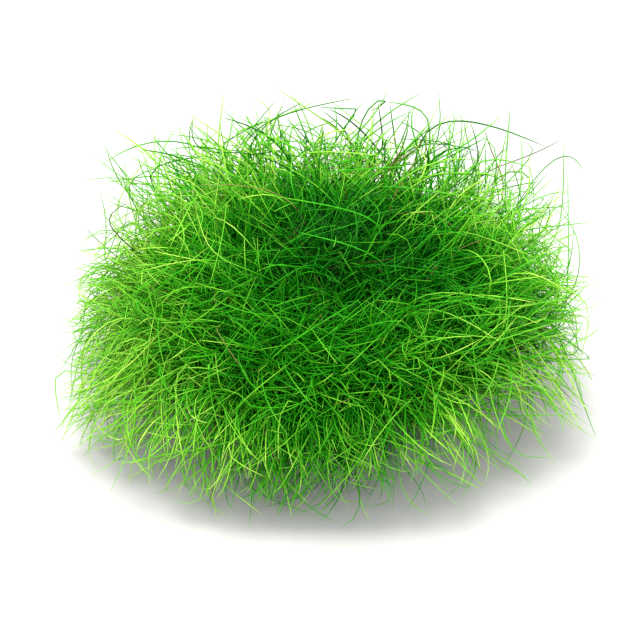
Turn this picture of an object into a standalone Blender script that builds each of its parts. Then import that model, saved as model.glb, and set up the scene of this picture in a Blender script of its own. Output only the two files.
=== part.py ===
"""Dwarf hairgrass growing in a plain shallow bowl.

The bowl and the soil are turned. The grass is a mat of separate tufts set in rings on the soil. Each tuft is one
crown with several locks of needle leaves drawn out of its faces, so a tuft is one closed body. The locks stand up in
the middle of the mat, lean out towards the rim, and at the rim some of them hang down over the bowl's outside.

Metres, +Z up. The origin is the middle of the bowl's flat underside, and +Y is the back of the mat.
"""

import math
import random

import bmesh
import bpy
import numpy as np
from mathutils import Matrix, Vector
from mathutils.bvhtree import BVHTree

# Bowl
BOWL_HEIGHT = 0.028
RIM_RADIUS = 0.069
FOOT_RADIUS = 0.044
WALL = 0.0034
FLOOR = 0.004
FOOT_CHAMFER = 0.001
WALL_SWEEP = 0.7  # under 1, the wall opens quickly above the foot and then steepens
WALL_POINTS = 4
RIM_POINTS = 3
TURN_STEPS = 32

# Soil
SOIL_TOP = 0.0245
SOIL_MOUND = 0.003
MOUND_POINTS = 4
GAP = 0.0003  # kept between pieces that touch

# Tufts
SEED = 23
RINGS = (("centre", 0.0, 1), ("inner", 0.0145, 5), ("middle", 0.029, 10), ("outer", 0.0435, 14), ("rim", 0.057, 20))
PLACE_JITTER = 0.0015
CROWN_RADIUS = 0.0032
CROWN_FLATNESS = 0.75

# Locks of leaves
LOCK_LENGTH = 0.056
LOCK_STATIONS = (0.22, 0.5, 0.78)  # shares of the length where a lock has a cross-section
LOCK_WIDTHS = (0.00115, 0.0011, 0.0007)  # from a lock's middle line to its corners, at those stations
RUN_WIDTHS = (LOCK_WIDTHS[0], *LOCK_WIDTHS)  # the larger of the two ends of each straight run
LOCK_CLEARANCE = 0.0002
PATH_STEPS = 24
BOWL_TESTS = 4  # places on each run of a lock that are tested against the bowl and the soil
MOST_TRIES = 400
LOWEST_FACE = -0.5  # no lock grows from a crown face whose normal points down more than this
DEGREE = math.radians(1.0)

# Upright locks. The scatters are standard deviations
FIELD_LOCKS = 7  # on each tuft inside the rim ring
RIM_LOCKS = 6  # on each tuft of the rim ring
FAN = 0.5  # how far a crown's locks spread, as a share of the angle between its own faces
LEAN_AT_RIM = 32 * DEGREE
LEAN_GROWTH = 1.5  # above 1, the middle of the mat stays upright
LEAN_SCATTER = 8 * DEGREE
HEADING_SCATTER = 18 * DEGREE
CURL_SCATTER = 35 * DEGREE
FIELD_BEND = (10 * DEGREE, 55 * DEGREE)
BEND_WITH_LEAN = 0.5  # added bend, as a share of the lean
FIELD_DROOP = 1.3
FIELD_LENGTHS = (0.82, 1.2)  # shares of LOCK_LENGTH

# Locks of the rim tufts that hang over the bowl
SKIRT_LOCKS = 4
SKIRT_HEADING_SCATTER = 20 * DEGREE
SKIRT_CURL_SCATTER = 22 * DEGREE
SKIRT_LEAN = (30 * DEGREE, 48 * DEGREE)
SKIRT_BEND = (100 * DEGREE, 140 * DEGREE)
SKIRT_DROOP = (0.55, 0.95)
SKIRT_LENGTHS = (0.6, 1.0)

# The space the leaf tips keep to: a rounded cushion, tallest at the back, that reaches less far to the front right
REACH = (0.101, 0.105, 0.100, 0.104, 0.098, 0.095, 0.096, 0.088)  # in 8 directions, anticlockwise from +X
CUSHION_MIDDLE = 0.030  # the height at which it reaches furthest
CUSHION_RISE = 0.060  # from there to its top, on average, and as far down again
CUSHION_SHAPE = 2.2  # 2 is an ellipse, and more has squarer shoulders
LOWEST_LEAF = 0.003
TALL_SIDE = 100 * DEGREE
TALL_SHARE = 0.12

LEAF_GREEN = (0.05, 0.32, 0.02, 1.0)
SOIL_BROWN = (0.05, 0.035, 0.02, 1.0)
GLAZE_GREEN = (0.02, 0.06, 0.025, 1.0)


def clear_scene():
    """Removes the objects of the scene that the file opens with."""
    for obj in list(bpy.data.objects):
        bpy.data.objects.remove(obj)


def make_material(name, colour, roughness):
    """A Principled material of one colour."""
    material = bpy.data.materials.new(name)
    material.use_nodes = True
    material.diffuse_color = colour
    shader = material.node_tree.nodes["Principled BSDF"]
    shader.inputs["Base Color"].default_value = colour
    shader.inputs["Roughness"].default_value = roughness
    shader.inputs["Metallic"].default_value = 0.0
    return material


def add_object(name, mesh, collection, material):
    """Links a mesh as a named object with its material."""
    mesh.materials.append(material)
    obj = bpy.data.objects.new(name, mesh)
    collection.objects.link(obj)
    return obj


# Bowl and soil


def outer_radius(height):
    """The bowl's outside radius at a height above the table."""
    share = min(max(height / BOWL_HEIGHT, 0.0), 1.0)
    return FOOT_RADIUS + (RIM_RADIUS - FOOT_RADIUS) * share**WALL_SWEEP


def inner_radius(height):
    """The bowl's inside radius at a height above the table."""
    return outer_radius(height) - WALL


def soil_height(radius):
    """The height of the soil's mounded surface at a distance from the bowl's axis."""
    edge = inner_radius(SOIL_TOP)
    return SOIL_TOP + SOIL_MOUND * (1.0 - min(radius / edge, 1.0) ** 2)


def spread(first, last, count):
    """Evenly spaced numbers from first to last, both included."""
    return [first + (last - first) * i / (count - 1) for i in range(count)]


def bowl_profile():
    """The bowl's section, from the axis inside, up the inner wall, over the round rim and down the outer wall."""
    rim_round = WALL / 2
    shoulder = BOWL_HEIGHT - rim_round
    inside = [(inner_radius(z), z) for z in spread(FLOOR, shoulder, WALL_POINTS)]
    middle = outer_radius(shoulder) - rim_round
    over = [
        (middle - rim_round * math.cos(a), shoulder + rim_round * math.sin(a))
        for a in spread(0.0, math.pi, RIM_POINTS + 2)[1:-1]
    ]
    outside = [(outer_radius(z), z) for z in spread(shoulder, FOOT_CHAMFER, WALL_POINTS)]
    return [(0.0, FLOOR), *inside, *over, *outside, (FOOT_RADIUS - FOOT_CHAMFER, 0.0), (0.0, 0.0)]


def soil_profile():
    """The soil's section, from the top of its mound out to the wall and down to the bowl's floor."""
    edge = inner_radius(SOIL_TOP) - GAP
    top = [(r, soil_height(r)) for r in spread(0.0, edge, MOUND_POINTS)]
    floor = FLOOR + GAP
    side = [(inner_radius(z) - GAP, z) for z in spread(SOIL_TOP, floor, WALL_POINTS)]
    return [*top[:-1], *side, (0.0, floor)]


def turned(name, profile, collection, material):
    """Turns a section, given as (radius, height) points, round the Z axis with a Screw modifier."""
    mesh = bpy.data.meshes.new(name)
    points = [(radius, 0.0, height) for radius, height in profile]
    mesh.from_pydata(points, [(i, i + 1) for i in range(len(points) - 1)], [])
    obj = add_object(name, mesh, collection, material)
    screw = obj.modifiers.new("Turn", "SCREW")
    screw.axis = "Z"
    screw.steps = TURN_STEPS
    screw.render_steps = TURN_STEPS
    screw.use_merge_vertices = True
    screw.merge_threshold = 0.00001
    screw.use_smooth_shade = True
    return obj


# Paths of the locks


def leaf_path(start, azimuth, lean, bend, droop, curl, length):
    """Points along a lock's middle line.

    lean is the angle from upright where it starts and bend is how much that angle grows to the tip. droop under 1
    bends it early, near its root. curl turns it sideways.
    """
    points = [start.copy()]
    step = length / PATH_STEPS
    for i in range(PATH_STEPS):
        share = (i + 0.5) / PATH_STEPS
        angle = lean + bend * share**droop
        heading = azimuth + curl * share
        direction = Vector((math.sin(angle) * math.cos(heading), math.sin(angle) * math.sin(heading), math.cos(angle)))
        points.append(points[-1] + direction * step)
    return points


def at_stations(points):
    """The path's points at the root, at each station and at the tip."""
    last = len(points) - 1
    return [points[0], *(points[round(share * last)] for share in LOCK_STATIONS), points[last]]


def reach(azimuth):
    """How far from the axis leaves may reach on this side, run smoothly between the eight directions."""
    place = azimuth % math.tau / math.tau * len(REACH)
    before = int(place) % len(REACH)
    share = (1.0 - math.cos(math.pi * (place - int(place)))) / 2
    return REACH[before] + (REACH[(before + 1) % len(REACH)] - REACH[before]) * share


def tall_factor(x, y):
    """How much taller the mat is here than on average."""
    return 1.0 + TALL_SHARE * (x * math.cos(TALL_SIDE) + y * math.sin(TALL_SIDE)) / RIM_RADIUS


def inside_cushion(point):
    """Whether a leaf tip lies in the space that the mat fills."""
    out = math.hypot(point.x, point.y) / reach(math.atan2(point.y, point.x))
    up = abs(point.z - CUSHION_MIDDLE) / (CUSHION_RISE * tall_factor(point.x, point.y))
    return out**CUSHION_SHAPE + up**CUSHION_SHAPE < 1.0 and point.z > LOWEST_LEAF


def clear_of_bowl(points):
    """Whether straight runs between these points stay off the bowl and the soil."""
    margin = LOCK_WIDTHS[0] + GAP
    for a, b in zip(points, points[1:]):
        for share in spread(1 / BOWL_TESTS, 1.0, BOWL_TESTS):
            p = a.lerp(b, share)
            radius = math.hypot(p.x, p.y)
            outside = radius > outer_radius(p.z) + margin
            inside = radius < inner_radius(p.z) - margin and p.z > soil_height(radius) + margin
            above = p.z > BOWL_HEIGHT + margin
            if not (outside or inside or above):
                return False
    return True


def segment_gaps(p, q, starts, ends):
    """The shortest distance from segment p-q to each segment starts-ends."""
    d1, d2, r = q - p, ends - starts, p - starts
    a, e, f = d1 @ d1, (d2 * d2).sum(1), (d2 * r).sum(1)
    b, c = d2 @ d1, r @ d1
    not_parallel = np.maximum(a * e - b * b, np.finfo(float).tiny)
    s = np.clip((b * f - c * e) / not_parallel, 0.0, 1.0)
    t = np.clip((b * s + f) / e, 0.0, 1.0)
    s = np.clip((b * t - c) / a, 0.0, 1.0)
    return np.linalg.norm((p + s[:, None] * d1) - (starts + t[:, None] * d2), axis=1)


class Placed:
    """The locks placed so far, as straight runs with a thickness, each with the number of its tuft."""

    def __init__(self):
        self.starts = np.zeros((0, 3))
        self.ends = np.zeros((0, 3))
        self.widths = np.zeros(0)
        self.tufts = np.zeros(0, int)
        self.at_crown = np.zeros(0, bool)

    def free(self, points, tuft):
        """Whether a lock clears all that were placed before it.

        The first runs of one crown's locks start side by side, so crosses_itself tests those.
        """
        for i, (a, b, width) in enumerate(zip(points, points[1:], RUN_WIDTHS)):
            gaps = segment_gaps(np.array(a), np.array(b), self.starts, self.ends)
            least = self.widths + width + LOCK_CLEARANCE
            if i == 0:
                least = np.where(self.at_crown & (self.tufts == tuft), 0.0, least)
            if (gaps < least).any():
                return False
        return True

    def add(self, points, tuft):
        """Keeps a lock's runs."""
        runs = len(points) - 1
        self.starts = np.vstack([self.starts, [tuple(p) for p in points[:-1]]])
        self.ends = np.vstack([self.ends, [tuple(p) for p in points[1:]]])
        self.widths = np.append(self.widths, RUN_WIDTHS)
        self.tufts = np.append(self.tufts, [tuft] * runs)
        self.at_crown = np.append(self.at_crown, [True] + [False] * (runs - 1))


# Tufts


def tuft_places(rng):
    """(name, x, y) of each tuft, ring by ring, from the middle out."""
    places = []
    for ring, radius, count in RINGS:
        turn = rng.uniform(0.0, math.tau)
        for i in range(count):
            angle = turn + math.tau * i / count
            x = radius * math.cos(angle) + rng.uniform(-PLACE_JITTER, PLACE_JITTER)
            y = radius * math.sin(angle) + rng.uniform(-PLACE_JITTER, PLACE_JITTER)
            name = f"tuft_{ring}" if count == 1 else f"tuft_{ring}_{i + 1:02d}"
            places.append((name, x, y))
    return places


def crown_mesh(x, y, rng):
    """A tuft's crown: a flattened icosphere that rests on the soil, turned by chance."""
    half = CROWN_RADIUS * CROWN_FLATNESS
    highest_soil = soil_height(max(math.hypot(x, y) - CROWN_RADIUS, 0.0))
    turn = Matrix.Rotation(rng.uniform(0.0, math.tau), 4, "Z")
    place = Matrix.Translation((x, y, highest_soil + GAP + half))
    flatten = Matrix.Diagonal((1.0, 1.0, CROWN_FLATNESS, 1.0))
    bm = bmesh.new()
    bmesh.ops.create_icosphere(bm, subdivisions=1, radius=CROWN_RADIUS, matrix=place @ turn @ flatten)
    bm.normal_update()
    return bm


def field_lock(start, normal, x, y, rng):
    """One try at an upright lock: it follows its face's own direction, leans with the mat and bends over."""
    polar = math.acos(normal.z) * FAN
    own = Vector((normal.x, normal.y, 0.0)).normalized() * math.sin(polar) + Vector((0.0, 0.0, math.cos(polar)))
    radius = math.hypot(x, y)
    lean_out = math.tan(LEAN_AT_RIM) * (radius / RIM_RADIUS) ** LEAN_GROWTH
    direction = (own + Vector((x, y, 0.0)).normalized() * lean_out).normalized()
    lean = math.acos(direction.z) + rng.gauss(0.0, LEAN_SCATTER)
    azimuth = math.atan2(direction.y, direction.x) + rng.gauss(0.0, HEADING_SCATTER)
    bend = rng.uniform(*FIELD_BEND) + BEND_WITH_LEAN * abs(lean)
    curl = rng.gauss(0.0, CURL_SCATTER)
    length = LOCK_LENGTH * rng.uniform(*FIELD_LENGTHS) * tall_factor(x, y)
    return leaf_path(start, azimuth, lean, bend, FIELD_DROOP, curl, length)


def skirt_lock(start, x, y, rng):
    """One try at a lock that goes out over the rim and hangs down beside the bowl."""
    azimuth = math.atan2(y, x) + rng.gauss(0.0, SKIRT_HEADING_SCATTER)
    lean = rng.uniform(*SKIRT_LEAN)
    bend = rng.uniform(*SKIRT_BEND)
    droop = rng.uniform(*SKIRT_DROOP)
    curl = rng.gauss(0.0, SKIRT_CURL_SCATTER)
    length = LOCK_LENGTH * rng.uniform(*SKIRT_LENGTHS)
    return leaf_path(start, azimuth, lean, bend, droop, curl, length)


def draw_out(bm, start, points):
    """Extrudes the crown's face whose middle is at start along the stations, and closes it in a point at the tip."""
    face = min(bm.faces, key=lambda f: (f.calc_center_median() - start).length)
    for behind, here, ahead, width in zip(points, points[1:], points[2:], LOCK_WIDTHS):
        tangent = (ahead - behind).normalized()
        turn = face.normal.rotation_difference(tangent)
        middle = face.calc_center_median()
        corners = [turn @ (v.co - middle) for v in face.verts]
        face = bmesh.ops.extrude_discrete_faces(bm, faces=[face])["faces"][0]
        for vert, corner in zip(face.verts, corners):
            vert.co = here + corner.normalized() * width
        face.normal_update()
    tip = bmesh.ops.poke(bm, faces=[face])["verts"][0]
    tip.co = points[-1]
    bmesh.ops.triangulate(bm, faces=[f for f in bm.faces if len(f.verts) > 3])


def crosses_itself(bm):
    """Whether two faces that share no corner touch."""
    bm.verts.index_update()
    corners = [{v.index for v in face.verts} for face in bm.faces]
    tree = BVHTree.FromBMesh(bm)
    return any(corners[a].isdisjoint(corners[b]) for a, b in tree.overlap(tree))


def lock_starts(bm, x, y, at_rim):
    """(middle, normal, hangs) of the crown's faces that locks grow from, those that hang over the bowl first."""
    outward = Vector((x, y, 0.0)).normalized()
    usable = [f for f in bm.faces if f.normal.z > LOWEST_FACE]
    usable.sort(key=lambda f: f.normal.dot(outward) - abs(f.normal.z), reverse=True)
    skirt = usable[:SKIRT_LOCKS] if at_rim else []
    field = [f for f in usable if f not in skirt]
    field.sort(key=lambda f: f.normal.z, reverse=True)
    chosen = [*skirt, *field[: RIM_LOCKS if at_rim else FIELD_LOCKS]]
    return [(f.calc_center_median(), f.normal.copy(), f in skirt) for f in chosen]


def tuft_mesh(name, x, y, number, placed, rng):
    """A crown with its locks, as one mesh. A lock that finds no free way is left out."""
    bm = crown_mesh(x, y, rng)
    for start, normal, hangs in lock_starts(bm, x, y, name.startswith("tuft_rim")):
        for _ in range(MOST_TRIES):
            path = skirt_lock(start, x, y, rng) if hangs else field_lock(start, normal, x, y, rng)
            points = at_stations(path)
            if not (inside_cushion(points[-1]) and clear_of_bowl(points) and placed.free(points, number)):
                continue
            grown = bm.copy()
            draw_out(grown, start, points)
            if crosses_itself(grown):
                grown.free()
                continue
            bm.free()
            bm = grown
            placed.add(points, number)
            break
    mesh = bpy.data.meshes.new(name)
    bm.to_mesh(mesh)
    bm.free()
    return mesh


def make_tufts(collection, material):
    """Every tuft of the mat, each its own object."""
    rng = random.Random(SEED)
    placed = Placed()
    for number, (name, x, y) in enumerate(tuft_places(rng)):
        mesh = tuft_mesh(name, x, y, number, placed, rng)
        add_object(name, mesh, collection, material)


def main():
    """Builds the bowl, the soil and the grass."""
    clear_scene()
    collection = bpy.data.collections.new("dwarf hairgrass in bowl")
    bpy.context.scene.collection.children.link(collection)
    turned("bowl", bowl_profile(), collection, make_material("green glaze", GLAZE_GREEN, 0.3))
    turned("soil", soil_profile(), collection, make_material("soil", SOIL_BROWN, 0.9))
    make_tufts(collection, make_material("hairgrass leaf", LEAF_GREEN, 0.45))


main()
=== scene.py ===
"""Dwarf hairgrass in a plain bowl: its leaves, soil and glaze, and the studio that it stands in.

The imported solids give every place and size. Each lock of leaves in a solid tuft becomes the middle line
of a bundle of single leaves, grown by a Geometry Nodes tree. The bowl and the soil are turned about +Z.
"""

import logging
import math
from collections.abc import Iterable, Sequence
from dataclasses import dataclass
from enum import Enum
from typing import Any

import bmesh
import bpy
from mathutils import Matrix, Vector, noise


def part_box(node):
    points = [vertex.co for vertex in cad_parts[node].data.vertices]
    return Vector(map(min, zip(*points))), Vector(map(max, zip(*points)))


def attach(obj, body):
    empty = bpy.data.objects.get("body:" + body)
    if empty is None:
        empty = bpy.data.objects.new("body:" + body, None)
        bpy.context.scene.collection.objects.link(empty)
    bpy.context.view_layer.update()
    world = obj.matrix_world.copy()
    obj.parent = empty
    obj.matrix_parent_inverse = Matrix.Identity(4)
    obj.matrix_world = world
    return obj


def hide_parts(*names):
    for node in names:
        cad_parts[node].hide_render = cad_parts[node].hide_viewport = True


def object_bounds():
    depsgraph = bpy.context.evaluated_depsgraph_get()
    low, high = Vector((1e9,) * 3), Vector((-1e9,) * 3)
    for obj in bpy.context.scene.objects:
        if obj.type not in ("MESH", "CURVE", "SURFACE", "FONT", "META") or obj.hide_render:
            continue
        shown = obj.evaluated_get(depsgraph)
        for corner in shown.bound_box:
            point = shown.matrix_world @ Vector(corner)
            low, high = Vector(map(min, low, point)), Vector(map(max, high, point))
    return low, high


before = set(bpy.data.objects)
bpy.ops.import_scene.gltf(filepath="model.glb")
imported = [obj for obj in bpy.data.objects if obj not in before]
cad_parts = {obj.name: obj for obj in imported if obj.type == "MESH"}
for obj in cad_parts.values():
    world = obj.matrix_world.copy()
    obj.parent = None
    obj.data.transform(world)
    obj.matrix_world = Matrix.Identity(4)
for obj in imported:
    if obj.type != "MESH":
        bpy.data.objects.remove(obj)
CAD_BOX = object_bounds()
BODY = "root"
MM = 0.001
DEGREE = math.radians(1.0)

log = logging.getLogger("hairgrass_bowl")

Colour = tuple[float, float, float]
Term = bpy.types.NodeSocket | float | int | bool | str | Sequence[float] | bpy.types.Material


class Slot(Enum):
    """The names of the material slots."""

    GLAZE = "bowl_glaze"
    SOIL = "soil"
    LEAF = "leaf"


class Ring(Enum):
    """The rings of tufts, from the middle of the bowl outwards."""

    CENTRE = "tuft_centre"
    INNER = "tuft_inner"
    MIDDLE = "tuft_middle"
    OUTER = "tuft_outer"
    RIM = "tuft_rim"

    def nodes(self) -> list[str]:
        """Names this ring's solid tufts, in their order round the bowl."""
        return sorted(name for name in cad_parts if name.startswith(self.value))


# ---- node trees


class Sketch:
    """Adds, sets and joins the nodes of one tree."""

    def __init__(self, tree: bpy.types.NodeTree) -> None:
        """Keeps the tree that is drawn in."""
        self.tree = tree

    def socket(self, sockets: Any, key: str | int) -> bpy.types.NodeSocket:
        """Finds a socket of a node.

        Args:
            sockets: the node's inputs or its outputs.
            key: the socket's place, its identifier, or its name where the node shows it.

        Returns:
            The socket.
        """
        if isinstance(key, int):
            return sockets[key]
        for made in sockets:
            if made.identifier == key:
                return made
        for made in sockets:
            if made.name == key and made.enabled:
                return made
        raise KeyError(key)

    def feed(self, socket: bpy.types.NodeSocket, term: Term) -> None:
        """Joins a socket to another one, or sets its value."""
        if isinstance(term, bpy.types.NodeSocket):
            self.tree.links.new(term, socket)
        else:
            socket.default_value = term

    def node(self, kind: str, inputs: dict[str | int, Term] | None = None, **settings: Any) -> bpy.types.Node:
        """Adds a node.

        Args:
            kind: the node's type.
            inputs: what goes into its sockets, by their names, identifiers or places.
            settings: the node's own choices.

        Returns:
            The node.
        """
        made = self.tree.nodes.new(kind)
        for name, value in settings.items():
            setattr(made, name, value)
        for key, term in (inputs or {}).items():
            self.feed(self.socket(made.inputs, key), term)
        return made

    def maths(self, operation: str, *terms: Term) -> bpy.types.NodeSocket:
        """Adds a sum of numbers and gives its result."""
        return self.node("ShaderNodeMath", dict(enumerate(terms)), operation=operation).outputs[0]

    def vectors(self, operation: str, *terms: Term, by: Term | None = None) -> bpy.types.NodeSocket:
        """Adds a sum of vectors.

        Args:
            operation: what is done.
            terms: the vectors.
            by: the number that a scaled vector is multiplied by.

        Returns:
            The vector, or the number where the operation gives one.
        """
        inputs: dict[str | int, Term] = dict(enumerate(terms))
        if by is not None:
            inputs["Scale"] = by
        made = self.node("ShaderNodeVectorMath", inputs, operation=operation)
        return made.outputs["Value" if operation in ("LENGTH", "DOT_PRODUCT", "DISTANCE") else "Vector"]

    def spread(self, value: Term, start: float, end: float, low: float, high: float) -> bpy.types.NodeSocket:
        """Turns a number's range from start to end into one from low to high, and stops it at both ends."""
        terms = {"Value": value, "From Min": start, "From Max": end, "To Min": low, "To Max": high}
        return self.node("ShaderNodeMapRange", terms, clamp=True).outputs["Result"]


class ShaderSketch(Sketch):
    """The node tree of one finish."""

    def __init__(self, name: str) -> None:
        """Starts a material with one Principled shader."""
        self.material = bpy.data.materials.new(name)
        self.material.use_nodes = True
        super().__init__(self.material.node_tree)
        self.shader = self.tree.nodes["Principled BSDF"]

    def surface(self, key: str, term: Term) -> None:
        """Sets or joins one socket of the shader."""
        self.feed(self.shader.inputs[key], term)

    def place(self) -> bpy.types.NodeSocket:
        """Gives each point's place on the object."""
        return self.node("ShaderNodeTexCoord").outputs["Object"]

    def grain(self, place: Term, scale: float, detail: float = 2.0, roughness: float = 0.5) -> bpy.types.NodeSocket:
        """Gives a soft random number from 0 to 1.

        Args:
            place: where the pattern is read.
            scale: how many of its waves fit in one unit of that.
            detail: how many finer layers it has.
            roughness: how strong those are.

        Returns:
            The number.
        """
        terms = {"Vector": place, "Scale": scale, "Detail": detail, "Roughness": roughness}
        return self.node("ShaderNodeTexNoise", terms).outputs["Fac"]

    def ramp(self, value: Term, stops: Iterable[tuple[float, Colour]]) -> bpy.types.NodeSocket:
        """Turns a number into a colour.

        Args:
            value: the number.
            stops: the numbers at which a colour is reached, with those colours.

        Returns:
            The colour.
        """
        made = self.node("ShaderNodeValToRGB", {"Fac": value})
        elements = made.color_ramp.elements
        for count, (position, colour) in enumerate(stops):
            element = elements[count] if count < 2 else elements.new(position)
            element.position = position
            element.color = (*colour, 1.0)
        return made.outputs["Color"]

    def mix(self, share: Term, first: Term, second: Term, how: str = "MIX") -> bpy.types.NodeSocket:
        """Lays a second colour over a first one."""
        terms = {
            "Factor_Float": share,
            "A_Color": (*first, 1.0) if isinstance(first, tuple) else first,
            "B_Color": (*second, 1.0) if isinstance(second, tuple) else second,
        }
        made = self.node("ShaderNodeMix", data_type="RGBA", blend_type=how)
        for key, term in terms.items():
            self.feed(self.socket(made.inputs, key), term)
        return self.socket(made.outputs, "Result_Color")

    def relief(self, height: Term, depth: float, strength: float = 1.0) -> None:
        """Raises the surface where a number is high, by a depth in metres."""
        terms = {"Height": height, "Distance": depth, "Strength": strength}
        self.surface("Normal", self.node("ShaderNodeBump", terms).outputs["Normal"])


class GrowthSketch(Sketch):
    """A Geometry Nodes tree with named inputs for its sizes."""

    def __init__(self, name: str) -> None:
        """Starts a tree that takes geometry in and gives geometry out."""
        super().__init__(bpy.data.node_groups.new(name, "GeometryNodeTree"))
        self.tree.interface.new_socket(name="Geometry", in_out="INPUT", socket_type="NodeSocketGeometry")
        self.tree.interface.new_socket(name="Geometry", in_out="OUTPUT", socket_type="NodeSocketGeometry")
        self.values: dict[str, Any] = {}
        self.entry = self.tree.nodes.new("NodeGroupInput")

    def named(self, name: str, kind: str, value: Any) -> bpy.types.NodeSocket:
        """Adds a named input.

        Args:
            name: what the input is called.
            kind: Float, Int or Material.
            value: what the modifier sets it to.

        Returns:
            The socket that gives its value in the tree.
        """
        made = self.tree.interface.new_socket(name=name, in_out="INPUT", socket_type=f"NodeSocket{kind}")
        self.values[made.identifier] = value
        return self.entry.outputs[name]

    def random(self, seed: Term, low: float = 0.0, high: float = 1.0) -> bpy.types.NodeSocket:
        """Gives each element its own number between two others."""
        terms = {"Min_001": low, "Max_001": high, "Seed": seed}
        made = self.node("FunctionNodeRandomValue", terms, data_type="FLOAT")
        return self.socket(made.outputs, "Value_001")

    def random_vector(self, seed: Term, low: Sequence[float], high: Sequence[float]) -> bpy.types.NodeSocket:
        """Gives each element its own vector between two others."""
        terms = {"Min": low, "Max": high, "Seed": seed}
        made = self.node("FunctionNodeRandomValue", terms, data_type="FLOAT_VECTOR")
        return self.socket(made.outputs, "Value")

    def attribute(self, name: str) -> bpy.types.NodeSocket:
        """Reads a number that the geometry carries under a name."""
        return self.node("GeometryNodeInputNamedAttribute", {"Name": name}, data_type="FLOAT").outputs["Attribute"]

    def capture(
        self, geometry: Term, domain: str, fields: dict[str, tuple[str, Term]]
    ) -> tuple[bpy.types.NodeSocket, dict[str, bpy.types.NodeSocket]]:
        """Fixes the values of some fields on the geometry.

        Args:
            geometry: the geometry.
            domain: POINT or CURVE.
            fields: the type and the field of each value, by its name.

        Returns:
            The geometry, and the fixed values by name.
        """
        made = self.node("GeometryNodeCaptureAttribute", domain=domain)
        for name, (kind, _) in fields.items():
            made.capture_items.new(kind, name)
        self.feed(made.inputs["Geometry"], geometry)
        for name, (_, term) in fields.items():
            self.feed(made.inputs[name], term)
        return made.outputs["Geometry"], {name: made.outputs[name] for name in fields}

    def finish(self, geometry: Term, material: Term) -> None:
        """Ends the tree: instances made real, then the finish."""
        real = self.node("GeometryNodeRealizeInstances", {"Geometry": geometry}).outputs["Geometry"]
        dressed = self.node("GeometryNodeSetMaterial", {"Geometry": real, "Material": material}).outputs["Geometry"]
        self.feed(self.tree.nodes.new("NodeGroupOutput").inputs["Geometry"], dressed)

    def grow(self, base: bpy.types.Object, name: str) -> bpy.types.Object:
        """Runs the tree on an object and keeps what it makes as a plain mesh.

        Args:
            base: what the tree starts from. It is removed.
            name: the new object's name.

        Returns:
            The new object.
        """
        modifier = base.modifiers.new("growth", "NODES")
        modifier.node_group = self.tree
        for identifier, value in self.values.items():
            modifier[identifier] = value
        graph = bpy.context.evaluated_depsgraph_get()
        mesh = bpy.data.meshes.new_from_object(base.evaluated_get(graph), depsgraph=graph)
        base.modifiers.remove(modifier)
        bpy.data.objects.remove(base)
        mesh.name = name
        return link(name, mesh)


# ---- meshes


def link(name: str, mesh: bpy.types.Mesh) -> bpy.types.Object:
    """Puts a mesh into the scene as an object at the origin."""
    made = bpy.data.objects.new(name, mesh)
    bpy.context.scene.collection.objects.link(made)
    return made


def turned(name: str, profile: Sequence[tuple[float, float]], steps: int) -> bpy.types.Object:
    """Turns a profile about the Z axis into a closed, smooth solid.

    Args:
        name: the object's name.
        profile: radius and height of each point, from the middle of the underside to the middle of the top.
        steps: how many faces go round.

    Returns:
        The object.
    """
    bm = bmesh.new()
    rows: list[list[bmesh.types.BMVert]] = []
    for radius, height in profile:
        count = steps if radius > 0.0 else 1
        angles = (2.0 * math.pi * step / steps for step in range(count))
        rows.append([bm.verts.new((radius * math.cos(a), radius * math.sin(a), height)) for a in angles])
    for low, high in zip(rows, rows[1:]):
        for step in range(steps):
            ahead = (step + 1) % steps
            corners = [low[step % len(low)], low[ahead % len(low)], high[ahead % len(high)], high[step % len(high)]]
            bm.faces.new(list(dict.fromkeys(corners)))
    bmesh.ops.recalc_face_normals(bm, faces=bm.faces)
    for face in bm.faces:
        face.smooth = True
    mesh = bpy.data.meshes.new(name)
    bm.to_mesh(mesh)
    bm.free()
    return link(name, mesh)


def report(piece: bpy.types.Object, nodes: Iterable[str] = ()) -> None:
    """Ties a finished piece to the body, hides the solids that it stands for, and logs it."""
    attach(piece, BODY)
    stands_for = list(nodes)
    if stands_for:
        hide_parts(*stands_for)
    piece.data.calc_loop_triangles()
    log.info("%s: %d triangles, stands for %s", piece.name, len(piece.data.loop_triangles), stands_for or "nothing")


# ---- finishes


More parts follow.
